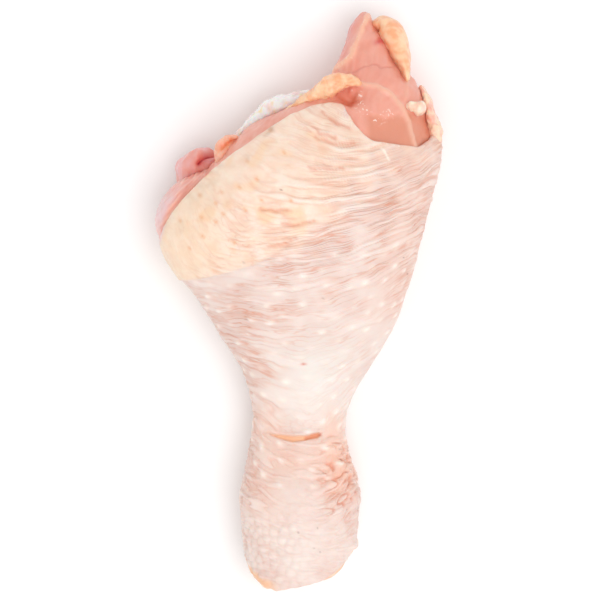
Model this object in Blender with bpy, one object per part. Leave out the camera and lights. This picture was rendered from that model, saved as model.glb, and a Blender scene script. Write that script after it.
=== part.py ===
"""Raw chicken drumstick, cut through the knee and the ankle, lying on its side.

The part's frame: +Z is up and the leg lies on the plane Z = 0. +Y runs along the leg from the
cut ankle to the thick knee end, and +X is to the right when the leg is seen from above with
the knee end away from the viewer. The origin is on the plane, below the middle of the leg.

The flesh is one lofted form. The skin is a sheath of even thickness over it, open along a
slanting edge at the knee end, slit across the neck and cut off at the ankle. The loose ends of
muscle, the fat and the cartilage that show beyond the skin are pods swept along short lines,
each cut back so that it only just clears its neighbours.
"""

import math
from collections import namedtuple

import bmesh
import bpy
from mathutils import Vector

MM = 0.001

# Driving dimensions.
SKIN_THICKNESS = 1.6 * MM
GAP = 0.3 * MM
RING_POINTS = 28
RING_STEP = 4.0 * MM
SECTION_POWER = 2.3
ORIGIN_SHIFT = Vector((0.21, 0.4, 0)) * MM

# The flesh in four long profiles, each a smooth line through (y, distance) pairs in
# millimetres: how far it reaches to the left, to the right, down and up.
FLESH_LEFT = (
    (-76, -11.6), (-64, -11.2), (-56, -11.6), (-47, -12.4), (-38, -10.8), (-28, -9.3),
    (-18, -11.4), (-8, -17.2), (1, -23.2), (8, -28.8), (14, -31.3), (20, -29.8),
    (27, -25.2), (35, -18.4), (42, -11.0), (47, -1.5), (51, 5.2), (56, 9.0), (62, 10.7),
    (66.5, 12.4), (69.1, 14.6),
)
FLESH_RIGHT = (
    (-76, 11.0), (-64, 11.6), (-56, 12.2), (-46, 12.8), (-38, 10.6), (-30, 9.3),
    (-23, 11.2), (-14, 16.6), (-5, 21.6), (5, 25.0), (15, 27.6), (26, 30.4), (36, 32.4),
    (42, 31.8), (48, 29.4), (54, 25.6), (60, 22.0), (65, 18.8), (69.1, 16.8),
)
FLESH_UNDER = (
    (-76, 2.2), (-64, 1.6), (-52, 1.2), (-44, 1.4), (-36, 3.2), (-29, 4.0), (-20, 2.9),
    (-8, 1.5), (4, 1.1), (26, 1.1), (38, 2.0), (47, 3.4), (56, 4.8), (64, 6.6), (69.1, 9.2),
)
FLESH_OVER = (
    (-76, 19.0), (-64, 20.6), (-55, 22.4), (-46, 22.8), (-38, 20.4), (-30, 18.6),
    (-20, 22.0), (-10, 28.2), (0, 34.0), (10, 38.2), (20, 39.6), (30, 38.4), (38, 35.2),
    (46, 30.4), (54, 25.6), (61, 20.4), (66, 16.0), (69.1, 12.8),
)
ANKLE_END = -76 * MM
KNEE_END = 69.1 * MM

# The free edge of the skin seen from above, from its right corner round to its left one, in
# millimetres. It rises over a folded corner in the middle and runs down along the left flank.
SKIN_EDGE = (
    (48, 36.5), (34.0, 37.6), (29.0, 36.8), (22.0, 37.5), (17.0, 38.4), (13.4, 42.0),
    (10.6, 46.9), (4.0, 47.4), (-4.5, 42.8), (-16.0, 34.3), (-23.5, 28.3), (-29.0, 22.4),
    (-31.6, 17.6), (-32.6, 12.4), (-46, 9.5),
)

# The ankle is cut across by one slanting stroke of the knife, and two more take off the
# corners. Each stroke is a point on the cut and the direction that is thrown away.
Stroke = namedtuple("Stroke", "point direction")
ANKLE_CUT = Stroke(Vector((1.0, -68.0, 0)) * MM, Vector((0.2, -1.0, 0)).normalized())
LEFT_CORNER_CUT = Stroke(Vector((-9.6, -67.0, 0)) * MM, Vector((-0.6, -0.8, 0)).normalized())
RIGHT_CORNER_CUT = Stroke(Vector((10.6, -63.4, 0)) * MM, Vector((0.7, -0.7, 0)).normalized())
JOINT_DEPTH = 8.0 * MM
JOINT_PROUD = 0.4 * MM

# The slit across the front of the neck.
SLIT_CENTRE = Vector((-1.4, -33.2, 22)) * MM
SLIT_LENGTH = 12.0 * MM
SLIT_WIDTH = 1.8 * MM

# Pods: each row is a place on the centre line, then half the width and half the height there.
Spine = namedtuple("Spine", "x y z half_width half_height")
SIDE_MUSCLE = (
    Spine(-17.5, 35.5, 15.0, 2.6, 6.0), Spine(-24.0, 29.6, 15.5, 4.2, 9.5),
    Spine(-29.5, 23.6, 16.0, 4.4, 11.5), Spine(-31.2, 16.6, 16.0, 3.5, 11.0),
    Spine(-30.6, 9.4, 16.0, 1.8, 7.0),
)
KNEE_MUSCLE = (
    Spine(-28.2, 27.5, 8.4, 2.4, 4.6), Spine(-26.0, 31.8, 8.8, 4.2, 6.6),
    Spine(-22.4, 35.0, 9.0, 3.8, 6.4), Spine(-18.0, 36.2, 9.0, 1.8, 4.4),
)
LOOSE_FLAP = (
    Spine(-20.8, 32.4, 23.4, 1.2, 1.6), Spine(-18.6, 35.4, 23.2, 2.4, 2.6),
    Spine(-16.2, 38.2, 21.8, 2.6, 2.8), Spine(-13.4, 39.4, 20.6, 1.0, 1.4),
)
CARTILAGE = (
    Spine(-15.6, 39.2, 11.0, 1.2, 3.0), Spine(-11.6, 42.8, 12.0, 2.0, 4.4),
    Spine(-6.4, 46.6, 13.0, 2.9, 5.0), Spine(-1.0, 48.4, 13.0, 2.5, 4.8),
    Spine(4.6, 50.6, 13.0, 1.5, 3.4),
)
FAT_PAD = (
    Spine(18.0, 67.6, 12.6, 1.8, 3.4), Spine(21.6, 63.6, 14.0, 3.2, 5.4),
    Spine(23.9, 57.8, 15.6, 3.2, 6.0), Spine(26.0, 53.0, 17.0, 2.7, 4.8),
    Spine(27.8, 49.6, 18.2, 1.6, 3.0),
)
FAT_RIDGE = (
    Spine(14.4, 51.2, 28.2, 1.0, 1.4), Spine(10.4, 52.0, 26.8, 2.0, 2.4),
    Spine(5.4, 50.2, 24.2, 2.2, 3.0), Spine(0.6, 47.4, 22.4, 1.7, 2.8),
    Spine(-3.4, 44.8, 21.6, 0.9, 1.8),
)
KNEE_BEAD = (
    Spine(25.6, 45.4, 26.2, 1.1, 1.3), Spine(27.6, 46.0, 25.2, 1.9, 2.1),
    Spine(29.2, 46.8, 23.4, 1.3, 1.8),
)
CORNER_FAT = (
    Spine(29.6, 51.0, 15.0, 1.1, 2.4), Spine(31.0, 46.8, 16.5, 1.4, 4.0),
    Spine(32.4, 42.0, 18.0, 1.7, 5.6), Spine(33.5, 38.0, 18.5, 1.3, 4.6),
)
POD_POINTS = 14
POD_STEPS = 11
POD_BLUNTNESS = 3.0


def clear_scene():
    for obj in list(bpy.data.objects):
        bpy.data.objects.remove(obj)


def material(name, colour, roughness):
    made = bpy.data.materials.new(name)
    made.use_nodes = True
    shader = made.node_tree.nodes["Principled BSDF"]
    shader.inputs["Base Color"].default_value = (*colour, 1)
    shader.inputs["Roughness"].default_value = roughness
    shader.inputs["Metallic"].default_value = 0
    return made


def smooth_line(rows, place):
    """The row at place, where whole numbers are the given rows, on a curve through them all."""
    first = min(int(place), len(rows) - 2)
    share = place - first
    before, start = rows[max(first - 1, 0)], rows[first]
    end, after = rows[first + 1], rows[min(first + 2, len(rows) - 1)]
    found = []
    for p0, p1, p2, p3 in zip(before, start, end, after):
        leaving, arriving = (p2 - p0) / 2, (p3 - p1) / 2
        rest = 3 * (p2 - p1) - 2 * leaving - arriving
        turn = 2 * (p1 - p2) + leaving + arriving
        found.append(p1 + share * (leaving + share * (rest + share * turn)))
    return found


def profile_at(profile, y):
    """How far the profile's smooth line reaches at y, in metres."""
    y_mm = min(max(y / MM, profile[0][0]), profile[-1][0])
    k = max(i for i in range(len(profile) - 1) if profile[i][0] <= y_mm)
    (y0, d0), (y1, d1) = profile[k], profile[k + 1]
    before, after = profile[max(k - 1, 0)], profile[min(k + 2, len(profile) - 1)]
    slope0 = (d1 - before[1]) / (y1 - before[0])
    slope1 = (after[1] - d0) / (after[0] - y0)
    t = (y_mm - y0) / (y1 - y0)
    step = y1 - y0
    start = (1 + 2 * t) * (1 - t) ** 2 * d0 + t * (1 - t) ** 2 * step * slope0
    finish = t**2 * (3 - 2 * t) * d1 + t**2 * (t - 1) * step * slope1
    return (start + finish) * MM


def oval(count, power=2.0):
    """(across, up) for each point of a rounded oval of half-size 1. Power 2 is an ellipse."""
    points = []
    for i in range(count):
        c, s = math.cos(math.tau * i / count), math.sin(math.tau * i / count)
        across = math.copysign(abs(c) ** (2 / power), c)
        points.append((across, math.copysign(abs(s) ** (2 / power), s)))
    return points


def lofted(name, rings):
    """A closed mesh object through a list of rings of points, with a flat cap at each end."""
    bm = bmesh.new()
    loops = [[bm.verts.new(p) for p in ring] for ring in rings]
    for near, far in zip(loops, loops[1:]):
        for i in range(len(near)):
            k = (i + 1) % len(near)
            bm.faces.new((near[i], near[k], far[k], far[i]))
    bm.faces.new(loops[0])
    bm.faces.new(loops[-1])
    bmesh.ops.recalc_face_normals(bm, faces=bm.faces)
    return as_object(name, bm)


def as_object(name, bm):
    mesh = bpy.data.meshes.new(name)
    bm.to_mesh(mesh)
    bm.free()
    mesh.shade_smooth()
    obj = bpy.data.objects.new(name, mesh)
    bpy.context.scene.collection.objects.link(obj)
    return obj


def sliced(obj, stroke, set_back=0.0):
    """Cuts off what lies beyond the stroke, moved back by set_back, and closes the cut flat."""
    bm = bmesh.new()
    bm.from_mesh(obj.data)
    cut = bmesh.ops.bisect_plane(
        bm,
        geom=bm.verts[:] + bm.edges[:] + bm.faces[:],
        plane_co=stroke.point - stroke.direction * set_back,
        plane_no=stroke.direction,
        clear_outer=True,
    )
    rim = [e for e in cut["geom_cut"] if isinstance(e, bmesh.types.BMEdge)]
    bmesh.ops.edgenet_fill(bm, edges=rim)
    bmesh.ops.recalc_face_normals(bm, faces=bm.faces)
    bm.to_mesh(obj.data)
    bm.free()
    return obj


def leg_form(name, grow=0.0, to=KNEE_END):
    """The flesh's own form from beyond the ankle to the knee end, swollen all round by grow."""
    count = round((to - ANKLE_END) / RING_STEP)
    rings = []
    for i in range(count + 1):
        y = ANKLE_END + (to - ANKLE_END) * i / count
        left, right = profile_at(FLESH_LEFT, y) - grow, profile_at(FLESH_RIGHT, y) + grow
        under, over = profile_at(FLESH_UNDER, y) - grow, profile_at(FLESH_OVER, y) + grow
        end = grow * (2 * i / count - 1)
        rings.append(
            [
                (
                    (left + right) / 2 + across * (right - left) / 2,
                    y + end,
                    (under + over) / 2 + up * (over - under) / 2,
                )
                for across, up in oval(RING_POINTS, SECTION_POWER)
            ]
        )
    return lofted(name, rings)


def pod(name, spine, grow=0.0):
    """A lump of flesh or fat swept along a smooth line, blunt at both ends."""
    rings = []
    for i in range(POD_STEPS + 1):
        share = i / POD_STEPS
        place = share * (len(spine) - 1)
        x, y, z, half_width, half_height = smooth_line(spine, place)
        x1, y1 = smooth_line(spine, max(place - 0.1, 0))[:2]
        x2, y2 = smooth_line(spine, min(place + 0.1, len(spine) - 1))[:2]
        ahead = Vector((x2 - x1, y2 - y1, 0)).normalized()
        side = Vector((ahead.y, -ahead.x, 0))
        swell = (1.04 - abs(2 * share - 1) ** POD_BLUNTNESS) ** (1 / POD_BLUNTNESS)
        centre = Vector((x, y, z)) * MM + ahead * grow * (2 * share - 1)
        width = half_width * MM * swell + grow
        height = half_height * MM * swell + grow
        rings.append(
            [
                centre + side * (across * width) + Vector((0, 0, up * height))
                for across, up in oval(POD_POINTS)
            ]
        )
    return lofted(name, rings)


def upright_prism(name, outline, low, high):
    """A closed block with the given outline in plan, from low to high."""
    floor = [(x, y, low) for x, y in outline]
    roof = [(x, y, high) for x, y in outline]
    return lofted(name, [floor, roof])


def opening_form(name):
    """Everything beyond the free edge of the skin, as a tall block."""
    steps = 4 * (len(SKIN_EDGE) - 1)
    edge = [smooth_line(SKIN_EDGE, i / 4) for i in range(steps + 1)]
    outside = [(-60, 40), (-40, 90), (48, 90)]
    outline = [(x * MM, y * MM) for x, y in edge + outside]
    return upright_prism(name, outline, -10 * MM, 60 * MM)


def slit_form(name):
    """A slim leaf-shaped block that cuts the slit."""
    half = SLIT_LENGTH / 2
    steps = 12
    upper, lower = [], []
    for i in range(steps + 1):
        share = 2 * i / steps - 1
        x = SLIT_CENTRE.x + share * half
        droop = -0.25 * SLIT_WIDTH * (1 - share**2)
        wide = SLIT_WIDTH / 2 * (1 - share**2)
        upper.append((x, SLIT_CENTRE.y + droop + wide))
        lower.append((x, SLIT_CENTRE.y + droop - wide))
    outline = lower + upper[-2:0:-1]
    return upright_prism(name, outline, SLIT_CENTRE.z - 9 * MM, SLIT_CENTRE.z + 9 * MM)


def helper(obj):
    """Marks a form that only cuts other forms."""
    obj.hide_render = True
    obj.display_type = "WIRE"
    return obj


def boolean(obj, other, operation="DIFFERENCE"):
    """Takes the other form away from obj, or keeps only what the two share."""
    modifier = obj.modifiers.new(operation.title() + " " + other.name, "BOOLEAN")
    modifier.operation = operation
    modifier.solver = "EXACT"
    modifier.object = helper(other)


def make_flesh():
    flesh = sliced(leg_form("flesh"), ANKLE_CUT, JOINT_DEPTH)
    flesh.data.materials.append(material("raw flesh", (0.80, 0.38, 0.28), 0.4))


def make_skin():
    """The sheath: a thicker leg form, hollowed by the flesh and opened by three cuts."""
    skin = leg_form("skin", GAP + SKIN_THICKNESS)
    table = Stroke(Vector((0, 0, 0)), Vector((0, 0, -1)))
    for stroke in (ANKLE_CUT, LEFT_CORNER_CUT, RIGHT_CORNER_CUT, table):
        sliced(skin, stroke)
    boolean(skin, leg_form("hollow_of_skin", GAP))
    boolean(skin, opening_form("opening_of_skin"))
    boolean(skin, slit_form("slit_of_skin"))
    skin.data.materials.append(material("raw skin", (0.92, 0.70, 0.60), 0.5))


def make_ankle_joint():
    """The joint tissue that fills the sheath where the foot was cut off."""
    joint = leg_form("ankle_joint", 0.0)
    inner = Stroke(ANKLE_CUT.point, -ANKLE_CUT.direction)
    sliced(joint, inner, -(JOINT_DEPTH - GAP))
    for stroke in (ANKLE_CUT, LEFT_CORNER_CUT, RIGHT_CORNER_CUT):
        sliced(joint, stroke, -JOINT_PROUD)
    joint.data.materials.append(material("joint tissue", (0.90, 0.55, 0.40), 0.45))


def make_pods():
    """What shows beyond the skin, in the order in which each one clears those before it."""
    lean = material("outer muscle", (0.80, 0.36, 0.30), 0.35)
    fat = material("yellow fat", (0.92, 0.56, 0.34), 0.4)
    gristle = material("white cartilage", (0.86, 0.80, 0.76), 0.3)
    rows = (
        ("side_muscle", SIDE_MUSCLE, lean),
        ("knee_muscle", KNEE_MUSCLE, lean),
        ("loose_flap", LOOSE_FLAP, fat),
        ("cartilage", CARTILAGE, gristle),
        ("fat_ridge", FAT_RIDGE, fat),
        ("fat_pad", FAT_PAD, fat),
        ("knee_bead", KNEE_BEAD, gristle),
        ("corner_fat", CORNER_FAT, fat),
    )
    flesh_room = leg_form("room_of_flesh", GAP)
    beyond_skin = opening_form("beyond_skin")
    beyond_skin.location = (-GAP, GAP, 0)
    rooms = []
    for name, spine, finish in rows:
        piece = pod(name, spine)
        piece.data.materials.append(finish)
        boolean(piece, flesh_room)
        boolean(piece, beyond_skin, "INTERSECT")
        for room in rooms:
            boolean(piece, room)
        rooms.append(helper(pod("room_of_" + name, spine, GAP)))


def main():
    clear_scene()
    make_flesh()
    make_skin()
    make_ankle_joint()
    make_pods()
    forms = list(bpy.data.objects)
    leg = bpy.data.objects.new("drumstick", None)
    bpy.context.scene.collection.objects.link(leg)
    for form in forms:
        form.parent = leg
    leg.location = ORIGIN_SHIFT


main()
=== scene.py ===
import math

import bpy
import numpy as np
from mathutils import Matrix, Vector
from mathutils.kdtree import KDTree


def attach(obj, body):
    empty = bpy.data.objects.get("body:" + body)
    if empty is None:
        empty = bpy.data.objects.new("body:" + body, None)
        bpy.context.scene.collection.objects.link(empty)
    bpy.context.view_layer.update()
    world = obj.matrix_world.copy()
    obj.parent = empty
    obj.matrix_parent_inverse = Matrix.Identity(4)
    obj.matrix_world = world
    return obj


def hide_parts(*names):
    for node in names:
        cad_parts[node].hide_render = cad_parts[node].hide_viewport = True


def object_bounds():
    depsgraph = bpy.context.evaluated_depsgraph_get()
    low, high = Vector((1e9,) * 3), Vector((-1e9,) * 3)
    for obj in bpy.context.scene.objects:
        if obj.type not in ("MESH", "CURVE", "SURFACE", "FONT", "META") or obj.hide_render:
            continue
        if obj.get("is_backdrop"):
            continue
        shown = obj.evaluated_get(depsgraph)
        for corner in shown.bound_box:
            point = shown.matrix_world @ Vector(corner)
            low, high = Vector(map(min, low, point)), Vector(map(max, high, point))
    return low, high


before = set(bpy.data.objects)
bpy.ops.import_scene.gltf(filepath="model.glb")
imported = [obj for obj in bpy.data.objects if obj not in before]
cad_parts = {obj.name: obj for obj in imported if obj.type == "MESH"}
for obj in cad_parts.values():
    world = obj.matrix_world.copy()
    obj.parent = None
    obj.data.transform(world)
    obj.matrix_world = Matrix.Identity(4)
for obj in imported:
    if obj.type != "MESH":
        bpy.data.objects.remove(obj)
cad_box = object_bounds()

# ---------------------------------------------------------------------------------------------
# The flesh: the thick muscle of the leg, bare above the skin's edge. It is one soft body with a
# pointed lobe at the knee end, a sinew across its broad face and a pocket under the skin's
# folded corner, painted dark as shade. All sizes are in millimetres until a mesh is laid down.
MM = 0.001
SHIFT = np.array([0.21, 0.4, 0.0])  # brings the leg's middle over the origin
SECTION_POWER = 2.3

LEFT_SIDE = (
    (-76, -11.6), (-64, -11.2), (-56, -11.6), (-47, -12.4), (-38, -10.8), (-28, -9.3),
    (-18, -11.4), (-8, -17.2), (1, -23.2), (8, -28.8), (14, -31.3), (20, -29.8),
    (27, -25.2), (35, -18.4), (42, -11.0), (47, -1.5), (51, 5.2), (56, 9.0), (62, 10.7),
    (66.5, 12.4), (69.1, 14.6),
)
RIGHT_SIDE = (
    (-76, 11.0), (-64, 11.6), (-56, 12.2), (-46, 12.8), (-38, 10.6), (-30, 9.3),
    (-23, 11.2), (-14, 16.6), (-5, 21.6), (5, 25.0), (15, 27.6), (26, 30.4), (36, 32.4),
    (42, 31.8), (48, 29.4), (54, 25.6), (60, 22.0), (65, 18.8), (69.1, 16.8),
)
UNDERSIDE = (
    (-76, 2.2), (-64, 1.6), (-52, 1.2), (-44, 1.4), (-36, 3.2), (-29, 4.0), (-20, 2.9),
    (-8, 1.5), (4, 1.1), (26, 1.1), (38, 2.0), (47, 3.4), (56, 4.8), (64, 6.6), (69.1, 9.2),
)
TOP_SIDE = (
    (-76, 19.0), (-64, 20.6), (-55, 22.4), (-46, 22.8), (-38, 20.4), (-30, 18.6),
    (-20, 22.0), (-10, 28.2), (0, 34.0), (10, 38.2), (20, 39.6), (30, 38.4), (38, 35.2),
    (46, 30.4), (54, 25.6), (61, 20.4), (66, 16.0), (69.1, 12.8),
)


def along(profile, place):
    """The smooth line through a profile's (place, value) pairs, read at each place."""
    at, value = np.array(profile, float).T
    slope = np.empty_like(value)
    slope[1:-1] = (value[2:] - value[:-2]) / (at[2:] - at[:-2])
    slope[0], slope[-1] = slope[1], slope[-2]
    place = np.clip(place, at[0], at[-1])
    k = np.clip(np.searchsorted(at, place) - 1, 0, len(at) - 2)
    step = at[k + 1] - at[k]
    t = (place - at[k]) / step
    start = (1 + 2 * t) * (1 - t) ** 2 * value[k] + t * (1 - t) ** 2 * step * slope[k]
    return start + t**2 * (3 - 2 * t) * value[k + 1] + t**2 * (t - 1) * step * slope[k + 1]


def leg_surface(around, y, grow=0.0):
    """Points on the leg's own form, swollen by grow. around is 0 at the right, pi at the left."""
    left, right = along(LEFT_SIDE, y) - grow, along(RIGHT_SIDE, y) + grow
    under, over = along(UNDERSIDE, y) - grow, along(TOP_SIDE, y) + grow
    c, s = np.cos(around), np.sin(around)
    across = np.sign(c) * np.abs(c) ** (2 / SECTION_POWER)
    up = np.sign(s) * np.abs(s) ** (2 / SECTION_POWER)
    x = (left + right) / 2 + across * (right - left) / 2
    z = (under + over) / 2 + up * (over - under) / 2
    return np.stack([x, y + 0 * around, z], -1)


def soft_step(low, high, value):
    """0 below low, 1 above high, and smooth between."""
    t = np.clip((value - low) / (high - low), 0, 1)
    return t * t * (3 - 2 * t)


shuffle = np.random.default_rng(11).permutation(256)
compass = np.random.default_rng(12).normal(size=(256, 3))
compass /= np.linalg.norm(compass, axis=1)[:, None]
SMEAR_STEP = 0.35


def mottle(points, size, seed=0):
    """Smooth random values, about -1 to 1, that change over a distance of size."""
    cell = points / size + seed * 17.31
    corner = np.floor(cell).astype(np.int64)
    part = cell - corner
    ease = part**3 * (part * (part * 6 - 15) + 10)
    total = np.zeros(points.shape[:-1])
    for dx in (0, 1):
        for dy in (0, 1):
            for dz in (0, 1):
                key = shuffle[(corner[..., 0] + dx) & 255]
                key = shuffle[(key + corner[..., 1] + dy) & 255]
                key = shuffle[(key + corner[..., 2] + dz) & 255]
                weight = (ease[..., 0] if dx else 1 - ease[..., 0]) * (
                    ease[..., 1] if dy else 1 - ease[..., 1]
                )
                weight = weight * (ease[..., 2] if dz else 1 - ease[..., 2])
                reach = ((part - (dx, dy, dz)) * compass[key]).sum(-1)
                total += weight * reach
    return total * 1.7


def drawn(points, way, values, length):
    """Values smeared along a heading that follows the surface, as wrinkles and fibres run."""
    by_row = np.gradient(points, axis=0)
    by_column = (np.roll(points, -1, 1) - np.roll(points, 1, 1)) / 2
    rr, cc = (by_row**2).sum(-1), (by_column**2).sum(-1)
    rc = (by_row * by_column).sum(-1)
    wr, wc = (way * by_row).sum(-1), (way * by_column).sum(-1)
    spread = np.maximum(rr * cc - rc**2, 1e-9)
    row_rate, column_rate = (wr * cc - wc * rc) / spread, (wc * rr - wr * rc) / spread
    last_row, columns = values.shape[0] - 1, values.shape[1]
    steps = max(4, round(length / SMEAR_STEP))
    total, share = values.copy(), 1.0
    for start in (1, -1):
        row, column = np.mgrid[: last_row + 1, :columns].astype(float)
        heading = way * start
        for k in range(1, steps + 1):
            i = np.rint(row).astype(int)
            j = np.rint(column).astype(int) % columns
            turn = np.where((heading * way[i, j]).sum(-1) < 0, -1.0, 1.0)
            heading = way[i, j] * turn[..., None]
            row = np.clip(row + turn * row_rate[i, j] * SMEAR_STEP, 0, last_row)
            column = column + turn * column_rate[i, j] * SMEAR_STEP
            i, j = np.floor(row).astype(int), np.floor(column).astype(int)
            up, on = row - i, column - j
            above, j, after = np.minimum(i + 1, last_row), j % columns, (j + 1) % columns
            seen = (values[i, j] * (1 - on) + values[i, after] * on) * (1 - up)
            seen = seen + (values[above, j] * (1 - on) + values[above, after] * on) * up
            weight = 0.5 + 0.5 * math.cos(math.pi * k / (steps + 1))
            total = total + weight * seen
            share += weight
    return (total - total.mean()) / total.std()


def near_line(points, line, width):
    """1 on a line of (x, y) points seen from above, falling off to 0 over about a width."""
    spot = points[..., :2]
    best = np.full(spot.shape[:-1], 1e9)
    for start, end in zip(line, line[1:]):
        a, b = np.array(start, float), np.array(end, float)
        t = np.clip(((spot - a) @ (b - a)) / ((b - a) @ (b - a)), 0, 1)
        best = np.minimum(best, np.linalg.norm(spot - a - t[..., None] * (b - a), axis=-1))
    return np.exp(-((best / width) ** 2))


def near_spot(points, x, y, wide, long=None):
    """1 at a spot seen from above, falling off to 0 over about wide and long."""
    long = long or wide
    return np.exp(-(((points[..., 0] - x) / wide) ** 2) - ((points[..., 1] - y) / long) ** 2)


def outward(points):
    """Unit normals of a grid of points whose first axis runs along and second goes round. They
    point away from the middles of its rings."""
    forward = np.gradient(points, axis=0)
    aside = (np.roll(points, -1, 1) - np.roll(points, 1, 1)) / 2
    normal = np.cross(forward, aside)
    if (normal * (points - points.mean(1, keepdims=True))).sum() < 0:
        normal = -normal
    return normal / np.maximum(np.linalg.norm(normal, axis=-1)[..., None], 1e-9)


def heading_on(normal, angle):
    """The direction within a surface that, seen from above, points at an angle."""
    c, s = np.cos(angle), np.sin(angle)
    nz = np.where(normal[..., 2] < 0, -1, 1) * np.maximum(np.abs(normal[..., 2]), 0.06)
    rise = -(normal[..., 0] * c + normal[..., 1] * s) / nz
    way = np.stack([c + 0 * rise, s + 0 * rise, rise], -1)
    return way / np.linalg.norm(way, axis=-1)[..., None]


def laid(name, points, marks):
    """A grid of polygons pulled over a grid of points, which goes round its second axis and
    closes at both ends. marks holds one value for each point under each name."""
    rows, columns = points.shape[:2]
    bpy.ops.object.select_all(action="DESELECT")
    bpy.ops.mesh.primitive_grid_add(x_subdivisions=columns, y_subdivisions=rows - 1, size=1)
    piece = bpy.context.object
    piece.name = piece.data.name = name
    points = np.concatenate([points, points[:, :1]], 1)
    piece.data.vertices.foreach_set("co", ((points + SHIFT) * MM).ravel())
    for mark, value in marks.items():
        value = np.concatenate([value, value[:, :1]], 1)
        piece.data.attributes.new(mark, "FLOAT", "POINT").data.foreach_set(
            "value", value.astype(np.float32).ravel()
        )
    bpy.ops.object.mode_set(mode="EDIT")
    bpy.ops.mesh.select_all(action="SELECT")
    bpy.ops.mesh.remove_doubles(threshold=0.00001)
    bpy.ops.mesh.normals_make_consistent(inside=False)
    bpy.ops.object.mode_set(mode="OBJECT")
    bpy.ops.object.shade_smooth()
    return piece


class Wire:
    """One value on its way through a material's nodes. Arithmetic on it adds Math nodes."""

    def __init__(self, finish, socket):
        self.finish = finish
        self.socket = socket

    def maths(self, operation, *values):
        sockets = dict(enumerate(values))
        return self.finish.node("ShaderNodeMath", {"operation": operation}, sockets)

    def __add__(self, other):
        return self.maths("ADD", self, other)

    def __abs__(self):
        return self.maths("ABSOLUTE", self)

    def __sub__(self, other):
        return self.maths("SUBTRACT", self, other)

    def __rsub__(self, other):
        return self.maths("SUBTRACT", other, self)

    def __mul__(self, other):
        return self.maths("MULTIPLY", self, other)

    __radd__ = __add__
    __rmul__ = __mul__


class Finish:
    """A material being made. node() adds one node and returns its first output."""

    def __init__(self, name, roughness, soft_share, soft_reach):
        self.material = bpy.data.materials.new(name)
        self.material.use_nodes = True
        self.tree = self.material.node_tree
        self.shader = self.tree.nodes["Principled BSDF"]
        self.shader.inputs["Roughness"].default_value = roughness
        self.shader.inputs["Subsurface Weight"].default_value = soft_share
        self.shader.inputs["Subsurface Radius"].default_value = (1.0, 0.42, 0.26)
        self.shader.inputs["Subsurface Scale"].default_value = soft_reach * MM
        self.place = self.node("ShaderNodeTexCoord", {}, {}, "Object")

    def feed(self, socket, value):
        if isinstance(value, Wire):
            self.tree.links.new(value.socket, socket)
        else:
            socket.default_value = value

    def node(self, kind, settings, inputs, output=0):
        made = self.tree.nodes.new(kind)
        for name, value in settings.items():
            setattr(made, name, value)
        for name, value in inputs.items():
            self.feed(made.inputs[name], value)
        return Wire(self, made.outputs[output])

    def mark(self, name):
        return self.node("ShaderNodeAttribute", {"attribute_name": name}, {}, "Fac")

    def noise(self, per_metre, detail=3.0, place=None):
        sockets = {"Vector": place or self.place, "Scale": per_metre, "Detail": detail}
        return self.node("ShaderNodeTexNoise", {}, sockets, "Fac")

    def ramp(self, value, low, high, start=0.0, end=1.0):
        sockets = {"Value": value, "From Min": low, "From Max": high}
        sockets |= {"To Min": start, "To Max": end}
        return self.node("ShaderNodeMapRange", {"interpolation_type": "SMOOTHSTEP"}, sockets)

    def mix(self, share, first, second):
        colours = {0: share, 6: self.colour(first), 7: self.colour(second)}
        return self.node("ShaderNodeMix", {"data_type": "RGBA"}, colours, 2)

    def colour(self, value):
        return value if isinstance(value, Wire) else paint(*value)

    def done(self, colour, relief, depth, roughness=None):
        self.feed(self.shader.inputs["Base Color"], colour)
        if roughness is not None:
            self.feed(self.shader.inputs["Roughness"], roughness)
        bump = {"Strength": 1.0, "Distance": depth * MM, "Height": relief}
        self.feed(self.shader.inputs["Normal"], self.node("ShaderNodeBump", {}, bump))
        return self.material


def paint(red, green, blue):
    """A shader colour from the 0 to 255 values of a paint chip."""
    chip = [v / 255 for v in (red, green, blue)]
    return [v / 12.92 if v <= 0.04045 else ((v + 0.055) / 1.055) ** 2.4 for v in chip] + [1]


def fitted(piece, material, nodes):
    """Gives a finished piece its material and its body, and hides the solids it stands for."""
    piece.data.materials.clear()
    piece.data.materials.append(material)
    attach(piece, "root")
    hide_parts(*nodes)


# Lines over the flesh, seen from above: the broad sinew and a thin one by it, the sheet of
# white tissue on the lobe's ridge, the crease along the pad of fat, painted with shade, the
# ridge's crest, a fine dark web and the edge where the flesh is wettest, strewn with painted
# glints.
SINEW = ((14.2, 51.8), (18.6, 50.9), (21.8, 49.0), (24.2, 46.0), (26.2, 42.6), (27.6, 36.0))
THIN_SINEW = ((25.7, 53.2), (25.2, 48.0))
FASCIA = ((16.9, 68.6), (14.8, 63.4), (13.2, 58.0), (9.2, 54.6), (4.4, 51.8), (-1.0, 48.5))
PAD_CREASE = ((17.0, 68.6), (17.6, 66.4), (19.9, 62.6), (22.2, 59.0), (24.2, 56.0), (25.4, 53.0))
CREST = ((15.8, 68.0), (14.8, 63.4), (13.2, 58.0), (9.6, 55.0))
WEB = ((12.4, 54.0), (15.2, 55.4), (18.6, 55.8), (22.0, 55.4))
GLINT_EDGE = ((12.6, 50.2), (14.6, 48.4), (14.4, 45.6), (16.6, 43.6), (19.4, 43.2), (21.6, 44.2))

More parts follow.
